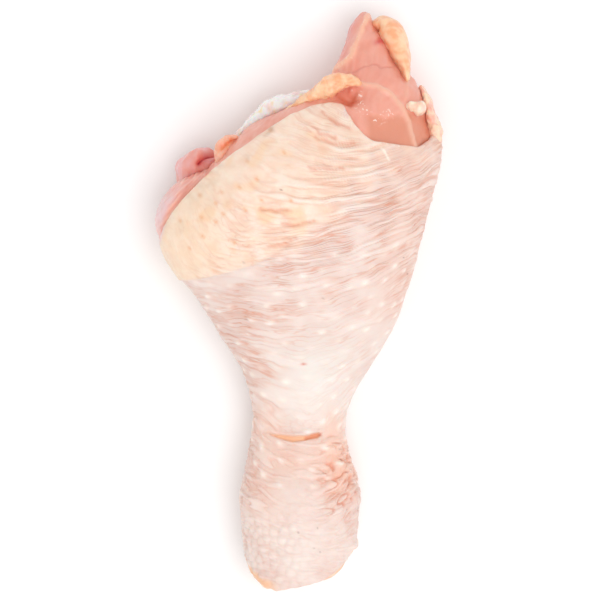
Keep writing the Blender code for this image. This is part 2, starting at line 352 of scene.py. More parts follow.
# The flesh's rings start well under the skin and end at the lobe's tip. They crowd towards the
# tip, where it rounds off over the last few millimetres. The flesh clears the table by a little.
FLESH_START, FLESH_TIP = 4.0, 69.4
START_ROUND, TIP_ROUND = 2.0, 3.8
TIP_POWER = 2.2
FLESH_LIFT = 0.25
rows, columns = 260, 230
share = np.linspace(0, 1, rows)[:, None]
around = np.linspace(0, math.tau, columns, endpoint=False)[None, :]
y = FLESH_START + (FLESH_TIP - FLESH_START) * share**0.9 + 0 * around
flesh = leg_surface(around + 0 * y, y)
middle = flesh.mean(1, keepdims=True)
blunt = np.clip(1 - (FLESH_TIP - y) / TIP_ROUND, 0, 1)[..., None]
flesh = middle + (flesh - middle) * (1 - blunt**TIP_POWER) ** (1 / TIP_POWER)
start = np.clip(1 - (y - FLESH_START) / START_ROUND, 0, 1)[..., None]
flesh = middle + (flesh - middle) * (1 - start**2) ** 0.5
normal = outward(flesh)
top = soft_step(-0.1, 0.35, normal[..., 2])
x = flesh[..., 0]
fibre_way = heading_on(normal, np.radians(68) + 0.8 * mottle(flesh, 9.0, 3))
fibre = drawn(flesh, fibre_way, mottle(flesh, 1.1, 1), 4.0)
wander = flesh + 0.9 * mottle(flesh, 2.6, 16)[..., None]
stray = flesh + 1.5 * mottle(flesh, 3.4, 17)[..., None]
sinew = np.clip(1.4 * near_line(flesh, SINEW, 0.5), 0, 1) * top
thin_sinew = near_line(flesh, THIN_SINEW, 0.45) * top
fascia = near_line(wander, FASCIA, 0.5) + 0.7 * near_line(stray, FASCIA, 0.4)
fascia = np.clip(fascia, 0, 1) * top
shaded_crease = near_line(flesh, PAD_CREASE, 0.9) * top
web = near_line(wander, WEB, 0.25) * top
# The pocket sinks deep and is painted dark orange as shade, together with the pad's crease.
shaded_pocket = near_spot(wander, 11.4, 48.6, 2.9, 1.8) * top
# low is where the flesh sinks just beyond the skin's edge on the right. It is also painted darker
# orange as the shadow of the skin's edge.
low = soft_step(44.8, 43.2, y + 0.8 * mottle(flesh, 2.4, 18)) * soft_step(15.0, 17.5, x) * top
ridge_x = np.interp(y, *np.array(FASCIA[::-1]).T[::-1])
veil = soft_step(0.3, 3.4, ridge_x - x) * soft_step(53, 57, y)
crest = near_line(flesh, CREST, 2.2) * top
swell = 1.6 * near_spot(flesh, 28.5, 53.0, 3.6, 5.0)
swell = swell + 1.2 * near_spot(flesh, 20.5, 62.0, 3.0, 6.5)
dull = near_spot(flesh, 18.5, 55.0, 5.0, 4.0)
relief = (
    0.55 * mottle(flesh, 7.0, 5)
    + 0.14 * mottle(flesh, 2.6, 6)
    + 0.035 * fibre
    + 0.45 * sinew
    + 0.25 * thin_sinew
    + 0.35 * fascia
    - 0.35 * shaded_crease
    - 0.2 * web
    - 3.0 * shaded_pocket
    - 0.9 * low * near_spot(flesh, 21.0, 41.0, 7.0, 4.0)
    + 0.9 * crest
    + swell
)
flesh = flesh + normal * relief[..., None]
flesh[..., 2] = np.maximum(flesh[..., 2], FLESH_LIFT)
# Painted glints of moisture are strewn along the wettest edge.
glint_area = near_line(stray, GLINT_EDGE, 0.9) + 0.25 * near_line(stray, FASCIA, 0.8)
flesh = laid(
    "flesh_body",
    flesh,
    {
        "sinew": np.maximum(sinew, 0.6 * thin_sinew),
        "fascia": fascia,
        "shaded_pocket": np.clip(shaded_pocket * 1.4 + shaded_crease * 0.55, 0, 1),
        "fibre": np.clip(0.5 + 0.2 * fibre, 0, 1),
        "blush": near_spot(wander, 19.3, 61.6, 0.9) * top,
        "low": low,
        "web": np.clip(web + 0.45 * dull, 0, 1),
        "veil": veil,
        "glint_area": np.clip(glint_area, 0, 1) * top,
    },
)
raw = Finish("raw_flesh", 0.36, 0.3, 1.2)
grain = raw.noise(420.0, 4.0)
tone = raw.mix(raw.ramp(raw.noise(120.0, 4.0), 0.35, 0.65), (238, 166, 146), (231, 153, 133))
tone = raw.mix(raw.ramp(raw.mark("fibre"), 0.2, 0.85) * 0.3, tone, (243, 184, 166))
tone = raw.mix(raw.mark("web") * 0.8, tone, (222, 142, 126))
tone = raw.mix(raw.mark("veil") * 0.7, tone, (229, 150, 146))
# Painted shadow of the skin's edge on the sunk flesh.
tone = raw.mix(raw.mark("low") * 0.8, tone, (222, 144, 116))
# Painted shade in the pocket and along the pad's crease.
tone = raw.mix(raw.mark("shaded_pocket") * 0.85, tone, (218, 120, 90))
tone = raw.mix(raw.mark("fascia") * 0.65, tone, (248, 198, 168))
tone = raw.mix(raw.mark("sinew") * 0.85, tone, (238, 184, 160))
tone = raw.mix(raw.mark("blush") * 0.9, tone, (214, 84, 88))
# Tiny painted highlights, as glints on the wet flesh.
painted_glints = raw.ramp(raw.noise(1500.0, 1.0), 0.6, 0.66) * raw.mark("glint_area")
tone = raw.mix(painted_glints * 0.8, tone, (255, 238, 226))
sheen = raw.ramp(raw.noise(400.0, 2.0), 0.3, 0.7, 0.28, 0.46)
fitted(flesh, raw.done(tone, grain, 0.16, sheen), ["flesh"])

# ---------------------------------------------------------------------------------------------
# The skin: a thin moist sheath pulled over the flesh, cut along a slanting edge at the knee end
# and cut off with the foot. Its upper left is thick with yellow fat and ends below in a fold;
# the rest is pink, drawn into fine wrinkles that run round the leg, with pale feather bumps.
# How far the skin's outer and inner sides stand off the flesh, and how much less at its edges.
SKIN_OUT = 1.9
SKIN_IN = 0.15
EDGE_THINNER = 0.5
# Seen from above, as x and y: the free edge at the knee, the edge at the cut ankle, and how far
# down the leg the yellow fat comes.
SKIN_EDGE = (
    (-42, 8.8), (-33.6, 10.8), (-33.3, 13.0), (-33.0, 16.4), (-31.5, 19.2), (-29.1, 22.4),
    (-25.9, 26.1), (-22.5, 29.0), (-20.0, 31.7), (-16.1, 34.2), (-11.2, 38.1), (-7.5, 40.6),
    (-3.9, 42.8), (0.2, 45.2), (2.7, 45.9), (5.1, 46.3), (8.3, 46.3), (10.5, 45.4),
    (11.6, 43.8), (12.3, 42.2), (13.4, 40.3), (14.9, 38.6), (17.4, 37.2), (19.3, 36.6),
    (22.3, 36.4), (27.2, 36.1), (29.1, 35.7), (31.1, 36.6), (32.6, 38.0), (33.4, 40.0),
    (34.0, 42.4), (48, 43.2),
)
ANKLE_EDGE = (
    (-20, -58.0), (-13.4, -62.5), (-12.3, -65.0), (-10.8, -66.6), (-8.6, -68.2), (-5.8, -69.1),
    (-1.7, -68.5), (3.0, -67.6), (7.2, -66.2), (10.1, -64.2), (11.6, -62.4), (13.2, -60.7),
    (14.4, -58.8), (20, -55.0),
)
FAT_LIMIT = (
    (-40, 4.6), (-29.4, 5.0), (-23.4, 5.2), (-16.5, 6.9), (-11.0, 8.4), (-5.4, 10.8),
    (0.1, 13.1), (6.0, 17.5), (12.0, 24.0), (18.0, 31.0), (26.0, 38.0), (44, 46.0),
)
# Where each stretch of skin is: its x and y, the heading of its wrinkles in degrees and their
# depth.
WRINKLES = (
    (-27, 14, -70, 0.06), (-20, 10, -50, 0.10), (-22, 20, -65, 0.05), (-15, 27, -20, 0.08),
    (-14, 16, -15, 0.14), (-10, 33, -20, 0.05), (-6, 24, 0, 0.16), (-4, 33, -5, 0.10),
    (-3, 16, 8, 0.14), (2, 40, -30, 0.10), (8, 43, -42, 0.16), (5, 34, -8, 0.18),
    (6, 27, 5, 0.20), (5, 20, 13, 0.16), (4, 13, 19, 0.17), (12, 33, 4, 0.20),
    (14, 26, 17, 0.20), (13, 18, 23, 0.20), (12, 10, 24, 0.18), (21, 34, 18, 0.12),
    (22, 26, 24, 0.20), (21, 18, 28, 0.20), (20, 9, 31, 0.15), (28, 35, 30, 0.10),
    (31, 33, 62, 0.18), (29, 26, 45, 0.20), (27, 17, 38, 0.16), (25, 8, 42, 0.12),
    (22, 0, 45, 0.10), (-18, 5, 6, 0.10), (-10, 7, 12, 0.12), (-16, -2, 4, 0.14),
    (-6, 0, 6, 0.13), (5, 3, 12, 0.12), (14, 0, 20, 0.08), (-13, -10, -4, 0.17),
    (-4, -9, 2, 0.12), (5, -10, 8, 0.05), (14, -10, 24, 0.08), (-9, -19, -12, 0.17),
    (0, -20, 0, 0.05), (8, -20, 20, 0.05), (13, -17, 45, 0.09), (-10, -25, -42, 0.16),
    (-5, -27, -25, 0.14), (2, -27, 0, 0.04), (8, -27, 55, 0.10), (-9, -32, -72, 0.20),
    (0, -31, 0, 0.06), (8, -31, 70, 0.12), (-10, -38, -56, 0.15), (-4, -38, -35, 0.05),
    (3, -37, -12, 0.05), (9, -37, -25, 0.16), (-10, -46, -50, 0.17), (-4, -46, -40, 0.07),
    (3, -46, -20, 0.04), (8, -43, -10, 0.16), (12, -43, 70, 0.16), (11, -50, 70, 0.16),
    (-10, -55, -25, 0.12), (-2, -54, 0, 0.06), (6, -54, 20, 0.06), (12, -56, 70, 0.12),
    (-8, -63, 0, 0.08), (0, -63, 0, 0.07), (8, -62, 20, 0.06),
)
WRINKLE_REACH = 4.5
# The deepest folds, each a line that the wrinkles run beside.
FOLDS = (
    ((5.4, 44.8), (9.4, 41.9), (11.8, 40.5)),
    ((3.0, 40.4), (6.0, 39.0), (8.6, 38.3)),
    ((4.0, 38.6), (7.0, 37.4), (10.2, 36.9), (13.2, 37.2)),
    ((2.6, 31.2), (6.4, 30.9), (10.4, 30.9)),
    ((-9.0, 21.4), (-5.4, 21.0), (-2.2, 21.3)),
    ((-4.0, 18.0), (0.0, 17.6), (3.6, 18.5)),
    ((-7.0, 12.6), (-3.6, 13.2), (-0.6, 14.8)),
)
# Small orange pits in the fat, dark flecks, and rosy places with their x, y, half width, half
# length and strength.
PITS = (
    (-6.6, 40.0), (-13.8, 26.3), (-18.1, 25.3), (-22.8, 19.5), (-12.6, 21.2), (-27.9, 18.7),
    (-19.4, 18.4), (-17.7, 20.2), (-22.4, 15.0), (-19.4, 22.7), (-9.8, 28.3), (-1.9, 23.4),
    (-8.7, 23.4), (-23.2, 24.6), (-25.6, 12.4), (-15.2, 13.6), (-3.4, 34.6), (-12.0, 32.4),
)
SPECKS = (
    (-4.2, 25.9), (3.7, 27.8), (-13.0, 9.0), (24.7, 10.1), (26.1, 6.1), (5.6, 0.3),
    (4.4, -54.5), (3.6, -59.4), (5.2, -60.4), (-0.2, -55.5), (11.6, -50.2),
)
FLUSHES = (
    (9.8, -41.0, 4.6, 7.0, 1.0), (-8.0, -30.0, 4.0, 6.0, 0.5), (8.0, -31.0, 3.0, 6.0, 0.5),
    (-1.0, -38.0, 7.0, 5.0, 0.5), (-8.0, -47.0, 5.0, 8.0, 0.35),
)
# The slit across the neck: its middle line and half width at places across the leg.
SLIT_MIDDLE = ((-7.4, -32.1), (-1.5, -33.2), (1.6, -33.0), (5.2, -32.2))
SLIT_WIDTH = ((-7.4, 0.0), (-4.5, 0.4), (-1.5, 0.65), (2.0, 0.45), (4.6, 0.6), (5.3, 0.0))
SLIT_LIP = ((-7.4, -31.4), (-1.5, -32.3), (5.0, -31.4))
SLIT_FOLD = ((1.8, -33.0), (3.4, -32.5), (5.2, -32.2))
SCRATCH = ((19.5, 35.8), (20.6, 34.3), (21.2, 33.0))
FILM_LINE = ((-33.5, 13.0), (-32.0, 18.0))
# The free edge is looked for between these places along the leg, and the ankle's cut from its
# middle, in a few steps that each come nearer.
EDGE_FROM, EDGE_TO = 4, 54
CUT_MIDDLE, CUT_STEPS = -66.0, 6
# The map of the wrinkles reaches this far, in whole millimetres.
MAP_LEFT, MAP_RIGHT, MAP_LOW, MAP_HIGH = -40, 40, -76, 57


def read_at(table, x):
    """A list of (x, value) pairs read at x, with straight lines between."""
    return np.interp(x, *np.array(table, float).T)


def wrinkle_field(points):
    """(heading in radians, depth) of the wrinkles at each point, seen from above."""
    turn_x = turn_y = deep = total = 0
    for x, y, degrees, depth in WRINKLES:
        away = (points[..., 0] - x) ** 2 + (points[..., 1] - y) ** 2
        weight = np.exp(-away / (2 * WRINKLE_REACH**2)) + 1e-9
        turn_x = turn_x + weight * math.cos(math.radians(2 * degrees))
        turn_y = turn_y + weight * math.sin(math.radians(2 * degrees))
        deep = deep + weight * depth
        total = total + weight
    return np.arctan2(turn_y, turn_x) / 2, deep / total


def wrinkle_count():
    """A map, on a grid of whole millimetres seen from above, that rises by 1 for each
    millimetre across the wrinkles. It is found by least squares from their headings."""
    across, up = np.meshgrid(
        np.arange(MAP_LEFT, MAP_RIGHT + 1.0), np.arange(MAP_LOW, MAP_HIGH + 1.0)
    )
    heading, _ = wrinkle_field(np.stack([across, up], -1))
    rise_x, rise_y = -np.sin(heading), np.cos(heading)
    want_x = (rise_x[:, 1:] + rise_x[:, :-1]) / 2
    want_y = (rise_y[1:] + rise_y[:-1]) / 2

    def gathered(by_x, by_y):
        total = np.zeros_like(across)
        total[:, 1:] += by_x
        total[:, :-1] -= by_x
        total[1:] += by_y
        total[:-1] -= by_y
        return total

    count = up.copy()
    left = gathered(want_x - np.diff(count, axis=1), want_y - np.diff(count, axis=0))
    way, size = left.copy(), (left**2).sum()
    for _ in range(600):
        pulled = gathered(np.diff(way, axis=1), np.diff(way, axis=0))
        step = size / (way * pulled).sum()
        count += step * way
        left -= step * pulled
        before, size = size, (left**2).sum()
        way = left + way * size / before
    return count


def strewn(points, apart, seed):
    """Places picked at random on a surface, no two nearer than apart."""
    flat = points.reshape(-1, 3)
    order = np.random.default_rng(seed).permutation(len(flat))[:9000]
    chosen = flat[order[:1]]
    for spot in flat[order[1:]]:
        if ((chosen - spot) ** 2).sum(1).min() > apart**2:
            chosen = np.vstack([chosen, spot])
    return chosen


def nearest(points, places):
    """The nearest of the places to each point, and how much further off the second is."""
    tree = KDTree(len(places))
    for i, place in enumerate(places):
        tree.insert(place, i)
    tree.balance()
    first, gap = [], []
    for point in points.reshape(-1, 3):
        (_, i, near), (_, _, far) = tree.find_n(point, 2)
        first.append(i)
        gap.append(far - near)
    return places[first].reshape(points.shape), np.array(gap).reshape(points.shape[:-1])


def evened(ring, times):
    """Values round a ring, smoothed this many times over."""
    for _ in range(times):
        ring = (np.roll(ring, 1) + 2 * ring + np.roll(ring, -1)) / 4
    return ring


def ankle_cut(around, grow):
    """Where the cut through the ankle crosses each line along the leg, swollen by grow."""
    end = np.full(around.shape, CUT_MIDDLE)
    for _ in range(CUT_STEPS):
        end = read_at(ANKLE_EDGE, leg_surface(around, end, grow)[:, 0])
    return end


columns, rows, upper_columns = 216, 430, 150
upper_half = np.linspace(0, 1, upper_columns, endpoint=False)
lower_half = np.linspace(1, 2, columns - upper_columns, endpoint=False)
around = math.pi * np.concatenate([upper_half, lower_half])
tries = np.linspace(EDGE_FROM, EDGE_TO, 1001)[:, None]
beyond = tries > read_at(SKIN_EDGE, leg_surface(around[None, :], tries, SKIN_OUT)[..., 0])
knee_edge = evened(tries[np.argmax(beyond, axis=0), 0], 14)
knee_edge += 0.35 * mottle(leg_surface(around, knee_edge, SKIN_OUT), 3.0, 9)
ankle_edge = ankle_cut(around, SKIN_OUT)
ankle_edge += 0.3 * mottle(leg_surface(around, ankle_edge, SKIN_OUT), 2.5, 10)

share = np.linspace(0, 1, rows)[:, None]
# The rows of the sheath follow its slanting edge near the knee and level out below it.
knee_far = evened(knee_edge, 240)
knee_mean = knee_edge.mean()
y = ankle_edge + (knee_mean - ankle_edge) * share + (knee_far - knee_mean) * share**3
y = y + (knee_edge - knee_far) * soft_step(0.82, 1.0, share)
thin = soft_step(3.5, 0.0, knee_edge - y) + soft_step(2.0, 0.0, y - ankle_edge)
outer = leg_surface(around + 0 * y, y, SKIN_OUT - EDGE_THINNER * np.clip(thin, 0, 1))
outer[..., 2] = np.maximum(outer[..., 2], 0)
normal = outward(outer)
top = soft_step(-0.15, 0.3, normal[..., 2])
x = outer[..., 0]
heading, depth = wrinkle_field(outer)
way = heading_on(normal, heading)
side = np.cross(normal, way)
count = wrinkle_count()
place_x = np.clip(x - MAP_LEFT, 0, MAP_RIGHT - MAP_LEFT - 0.01)
place_y = np.clip(outer[..., 1] - MAP_LOW, 0, MAP_HIGH - MAP_LOW - 0.01)
i, j = place_y.astype(int), place_x.astype(int)
up, on = place_y - i, place_x - j
threads = (count[i, j] * (1 - on) + count[i, j + 1] * on) * (1 - up)
threads = threads + (count[i + 1, j] * (1 - on) + count[i + 1, j + 1] * on) * up
threads = threads + 0.5 * mottle(outer, 5.0, 26)


def stretched(apart, length, seed):
    """Unit random relief with wrinkles this far apart and this long."""
    span = np.stack([x / length, threads / apart, outer[..., 2] / length], -1)
    value = mottle(span, 1.0, seed)
    return (value - value.mean()) / value.std()


reach = soft_step(-32, -22, y) * (1 - soft_step(2, 12, y) * soft_step(2, -10, x))
fine_reach = soft_step(-12, 2, x + 0.3 * y) * soft_step(-14, -2, y)
long_wrinkle = reach * stretched(1.3, 18.0, 2) + (1 - reach) * stretched(0.9, 6.0, 20)
long_wrinkle /= np.sqrt(reach**2 + (1 - reach) ** 2)
short_wrinkle = stretched(0.8, 3.2, 3)
patchy = soft_step(-0.5, 0.5, mottle(outer, 6.0, 4))
depth = depth * (0.6 + 0.55 * patchy)
wander = outer + 0.5 * mottle(outer, 2.2, 14)[..., None]
# The deepest folds sink into the skin and are also painted dark orange as shade.
shaded_fold = sum(near_line(wander, line, 0.38) for line in FOLDS) * top
fat_edge = read_at(FAT_LIMIT, x)
blur = 0.45 + np.clip(x + 8, 0, 24) * 0.42
ragged = 0.7 * mottle(outer, 2.4, 15) * soft_step(-8, 2, x)
fat = soft_step(-1, 1, (y - fat_edge) / blur + ragged)
valley = np.exp(-((long_wrinkle / (0.42 + 0.35 * fat)) ** 2))
small_valley = np.exp(-((short_wrinkle / 0.42) ** 2)) * (1 - 0.7 * fat)
lip = np.exp(-(((y - fat_edge) / 0.5) ** 2)) * soft_step(4, -6, x)

bump_places = strewn(outer, 3.9, 21)
offset = outer - nearest(outer, bump_places)[0]
long_way, cross_way = (offset * way).sum(-1), (offset * side).sum(-1)
bump = np.exp(-((long_way / 1.0) ** 2) - ((cross_way / 0.62) ** 2))
bump *= 0.35 + 0.65 * soft_step(-0.3, 0.4, mottle(outer, 5.0, 6))
pimple = bump * soft_step(20, 6, y) * (1 - 0.7 * fat) * soft_step(-50, -40, y)
pit = 0
for pit_x, pit_y in PITS:
    across, down = (x - pit_x) + 0.6 * (y - pit_y), (y - pit_y) - 0.3 * (x - pit_x)
    pit = pit + np.exp(-((across / 0.34) ** 2) - (down / 0.6) ** 2)
pit = np.clip(pit, 0, 1) * top
blotch = fat * soft_step(0.1, 0.5, mottle(outer, 5.0, 8))
blotch = blotch * soft_step(10, 0, x) * soft_step(8, 16, y)

cobble_places = strewn(outer[outer[..., 1] < -34], 1.75, 22)
cobble_spot, cobble_gap = nearest(outer, cobble_places)
cobbled = soft_step(-48, -56, y) * soft_step(5, -3, x) + 0.25 * soft_step(-36, -44, y)
crack = np.exp(-((cobble_gap / 0.5) ** 2)) * np.clip(cobbled, 0, 1)
# Each cell of the ankle swells into a dome, and its crown is also painted lighter as a highlight.
highlit_dome = np.clip(1 - (np.linalg.norm(outer - cobble_spot, axis=-1) / 1.2) ** 2, 0, 1)
highlit_dome = highlit_dome * np.clip(cobbled, 0, 1) * (0.5 + 0.5 * mottle(cobble_spot, 2.0, 27))
knuckle = soft_step(-30, -36, y) * soft_step(-56, -48, y) * soft_step(3.5, 8, x)
rough = stretched(1.5, 4.5, 24) + 0.4 * mottle(outer, 1.8, 28)
rough_valley = np.exp(-((rough / 0.34) ** 2)) * knuckle
rough_valley = rough_valley * soft_step(-0.5, 0.1, mottle(outer, 3.0, 29))

slit_width = read_at(SLIT_WIDTH, x)
slit = soft_step(0.25, -0.2, np.abs(y - read_at(SLIT_MIDDLE, x)) - slit_width)
slit = slit * (slit_width > 0.02) * top
slit_lip = near_line(outer, SLIT_LIP, 0.6) * top
slit_fold = near_line(outer, SLIT_FOLD, 0.35) * top

relief = (
    0.45 * mottle(outer, 15.0, 7)
    + 0.16 * mottle(outer, 4.5, 8)
    + depth * (1.3 * np.tanh(1.2 * long_wrinkle) - 1.5 * valley)
    - 0.6 * depth * small_valley
    + 0.34 * pimple
    - 0.12 * pit
    - 0.12 * crack
    + 0.28 * highlit_dome
    + 0.08 * mottle(outer, 2.2, 25) * (0.4 + 0.6 * fat)
    - 0.34 * shaded_fold
    + 0.55 * fat * soft_step(2.0, 0.0, x * 0.2)
    + 0.45 * lip
    + 1.1 * near_spot(outer, 14.0, -59.0, 2.4, 0.9)
    - 0.55 * rough_valley
    + 0.28 * knuckle * rough
    - 0.9 * slit
    + 0.35 * slit_lip
    - 0.5 * slit_fold
)
fade = soft_step(0, 0.012, share) * soft_step(1.0, 0.985, share)
relief = relief * (0.35 + 0.65 * fade)
relief = relief * (0.5 + 0.5 * soft_step(-0.1, 0.45, normal[..., 2]))
moved = normal * relief[..., None]
sheath = outer + moved

# The lining sinks into the flesh between its ends, so that it never comes near the outside.
LINING_SUNK = 1.2
HAIR = 1e-9
RIM_BULGE = 0.6
rim_steps, inner_rows = 4, 17


def rim(edge, out, inn, beyond, carried):
    """The rounded edge of the skin: half a turn from its outer to its inner side."""
    made = []
    for k in range(1, rim_steps + 1):
        turn = math.pi * k / (rim_steps + 1)
        grow = (out + inn) / 2 + (out - inn) / 2 * math.cos(turn)
        row = leg_surface(around, edge + beyond * math.sin(turn), grow)
        made.append(row + carried * (1 - k / (rim_steps + 1)))
    return made


lining = []
for t in np.linspace(0, 1, inner_rows).clip(HAIR, 1 - HAIR):
    sunk = SKIN_IN - LINING_SUNK * math.sin(math.pi * t) ** 0.5
    lining.append(leg_surface(around, knee_edge + (ankle_edge - knee_edge) * t, sunk))
edge_out = SKIN_OUT - EDGE_THINNER
knee_rim = rim(knee_edge, edge_out, SKIN_IN, RIM_BULGE, moved[-1])
ankle_rim = rim(ankle_edge, edge_out, SKIN_IN, -RIM_BULGE, moved[0])[::-1]
extra = np.array(knee_rim + lining + ankle_rim)
sheath = np.concatenate([sheath, extra, sheath[:1]])
sheath[..., 2] = np.maximum(sheath[..., 2], 0)


def carried(value):
    """A mark's values with the last row kept over the rims and the lining."""
    value = value + 0 * y
    after = np.repeat(value[-1:], rim_steps + inner_rows, 0)
    return np.concatenate([value, after, np.repeat(value[:1], rim_steps + 1, 0)])


cut_tint = soft_step(2.2, 0.4, y - ankle_edge) * soft_step(-4, -8, x)
cut_tint = cut_tint + soft_step(2.4, 1.0, y - ankle_edge) * soft_step(12.0, 13.2, x)
specks = sum(near_spot(outer, sx, sy, 0.16) for sx, sy in SPECKS) * top
blood = near_spot(outer, 1.1, -15.4, 0.6, 0.25) * top
scratch = near_line(outer, SCRATCH, 0.25) * top
# A darker band down the right side is painted shade. The rosy places of FLUSHES are added to it.
flush_and_shade = 0.3 * soft_step(14, 25, x) * soft_step(-12, 0, y)
for flush_x, flush_y, wide, long, strength in FLUSHES:
    flush_and_shade = flush_and_shade + strength * near_spot(outer, flush_x, flush_y, wide, long)
pale = near_spot(outer, 5.0, -19.0, 11.0, 13.0) + 0.3 * near_spot(outer, 0.0, -57.0, 7.0, 8.0)
deep = np.clip(depth * 5.5, 0, 1) * (1 - 0.5 * fat) * (1 - 0.45 * soft_step(-8, -20, y))
film = near_spot(outer, 12.0, 44.4, 1.3, 1.1)
film = film + near_line(outer, FILM_LINE, 0.6)
skin = laid(
    "skin_sheath",
    sheath,
    {
        "shaded_crease": carried(np.clip(valley * soft_step(0.03, 0.2, depth) + 0.15 * crack, 0, 1)),
        "shaded_fold": carried(np.clip(shaded_fold + 1.4 * rough_valley + 0.5 * slit_fold, 0, 1)),
        "fat": carried(fat),
        "threads": carried(threads),
        "deep": carried(deep),
        "reach": carried(np.maximum(fine_reach, 0.7 * reach)),
        "highlit_dome": carried(np.clip(highlit_dome, 0, 1)),
        "butter": carried(fat * soft_step(-12, -26, x)),
        "ridge_highlight": carried(np.clip(depth * 4 * np.tanh(long_wrinkle), 0, 1) * (1 - valley)),
        "pimple": carried(pimple),
        "pit": carried(pit),
        "blotch": carried(blotch),
        "flush_and_shade": carried(np.clip(flush_and_shade, 0, 1)),
        "pale": carried(np.clip(pale, 0, 1)),
        "bare": carried(np.clip(slit + cut_tint, 0, 1)),
        "film": carried(film),
        "speck": carried(specks),
        "blood": carried(blood + 0.5 * slit_fold),
        "scratch": carried(scratch),
    },
)
hide = Finish("raw_skin", 0.46, 0.2, 0.3)
grain = hide.noise(700.0, 4.0)
x_place = hide.node("ShaderNodeSeparateXYZ", {}, {"Vector": hide.place}, 0)
z_place = hide.node("ShaderNodeSeparateXYZ", {}, {"Vector": hide.place}, 2)
fine = []
for squeeze, scale in ((62.0, 1.25), (250.0, 1.1)):
    lines = {"X": x_place * squeeze, "Y": hide.mark("threads"), "Z": z_place * squeeze}
    fine.append(hide.noise(scale, 1.0, hide.node("ShaderNodeCombineXYZ", {}, lines)))
fine = fine[0] * hide.mark("reach") + fine[1] * (1 - hide.mark("reach"))
shown = hide.ramp(hide.noise(110.0, 2.0), 0.36, 0.54)
# line marks the fine crease lines: they dent the bump and are painted darker as shade.
line = hide.ramp(abs(fine - 0.5), 0.0, 0.05, 1.0, 0.0) * hide.mark("deep") * shown
pink = hide.mix(hide.ramp(hide.noise(110.0, 4.0), 0.35, 0.65), (234, 214, 205), (228, 200, 190))
pink = hide.mix(hide.mark("pale") * 0.85, pink, (237, 230, 223))
yellow = hide.mix(hide.ramp(hide.noise(320.0, 5.0), 0.3, 0.7), (248, 225, 207), (243, 212, 190))
tone = hide.mix(hide.mark("fat"), pink, yellow)
tone = hide.mix(hide.mark("butter") * 0.3, tone, (249, 220, 180))
tone = hide.mix(hide.mark("blotch") * 0.6, tone, (247, 206, 166))
# Rosy places, with a darker band down the right side as painted shade.
tone = hide.mix(hide.mark("flush_and_shade") * 0.7, tone, (243, 184, 156))
# Painted shade in the wrinkles' valleys and the cracks between the ankle's cells.
tone = hide.mix(hide.mark("shaded_crease") * 0.45, tone, (228, 166, 140))
# Painted shade in the fine crease lines.
tone = hide.mix(line * 0.8, tone, (221, 155, 129))
# Painted highlight on the crowns of the ankle's cells.
tone = hide.mix(hide.mark("highlit_dome") * 0.4, tone, (248, 238, 230))
# Painted highlight along the wrinkles' crests.
tone = hide.mix(hide.mark("ridge_highlight") * 0.5, tone, (252, 238, 230))
# Painted shade in the deep folds, the ankle's rough creases and the slit's fold.
tone = hide.mix(hide.mark("shaded_fold") * 0.55, tone, (223, 138, 106))
tone = hide.mix(hide.mark("pimple") * 0.85, tone, (252, 240, 230))
tone = hide.mix(hide.mark("pit") * 0.85, tone, (236, 172, 122))
tone = hide.mix(hide.mark("bare") * 0.9, tone, (246, 192, 152))
tone = hide.mix(hide.mark("blood") * 0.9, tone, (212, 112, 88))
tone = hide.mix(hide.mark("film") * 0.7, tone, (228, 196, 206))
tone = hide.mix(hide.mark("scratch") * 0.8, tone, (254, 246, 232))
tone = hide.mix(hide.mark("speck") * 0.7, tone, (120, 84, 74))
sheen = hide.ramp(hide.noise(300.0, 2.0), 0.3, 0.7, 0.42, 0.58)
fitted(skin, hide.done(tone, grain * 0.5 - line * 0.6, 0.14, sheen), ["skin"])

# ---------------------------------------------------------------------------------------------
# The cut ankle: pale orange joint tissue that fills the sheath where the foot was taken off. Its
# face follows the slanting cut and bulges in uneven lumps.
columns, rows = 120, 40
around = np.linspace(0, math.tau, columns, endpoint=False)
JOINT_GROW, JOINT_DEEP, JOINT_CROWN, JOINT_PROUD = 0.1, 9.0, 0.35, 0.1
wall_rows = 12
end = ankle_cut(around, JOINT_GROW) - JOINT_PROUD
rings = []
for t in np.linspace(0, 1, wall_rows):
    rings.append(leg_surface(around, end + JOINT_DEEP * (1 - t), JOINT_GROW))
edge = rings[-1]
middle = edge.mean(0)
for t in np.linspace(0, 1, rows - wall_rows)[1:]:
    row = middle + (edge - middle) * (1 - t)
    crown = JOINT_CROWN * math.sin(math.pi * min(1, t * 2) / 2)
    row[:, 1] = read_at(ANKLE_EDGE, row[:, 0]) - crown
    rings.append(row)
inside = rings[0].mean(0)
joint = np.array([inside + (rings[0] - inside) * t for t in (0.0, 0.5)] + rings)
bulge = 0.9 * mottle(joint, 4.6, 31) + 0.3 * mottle(joint, 1.6, 32)
joint[..., 1] -= bulge * soft_step(-52, -60, joint[..., 1])
joint = laid("ankle_end", joint, {"lump": np.clip(0.5 + bulge, 0, 1)})
tissue = Finish("joint_tissue", 0.4, 0.3, 1.5)
tone = tissue.mix(tissue.mark("lump"), (236, 160, 128), (250, 214, 190))
tone = tissue.mix(tissue.ramp(tissue.noise(500.0), 0.4, 0.6) * 0.5, tone, (247, 196, 160))
fitted(joint, tissue.done(tone, tissue.noise(600.0), 0.2), ["ankle_joint"])

# ---------------------------------------------------------------------------------------------
# The long strip of outer muscle: it lies along the left flank beyond the skin's edge, under a
# thin bluish membrane that thickens towards its rim.


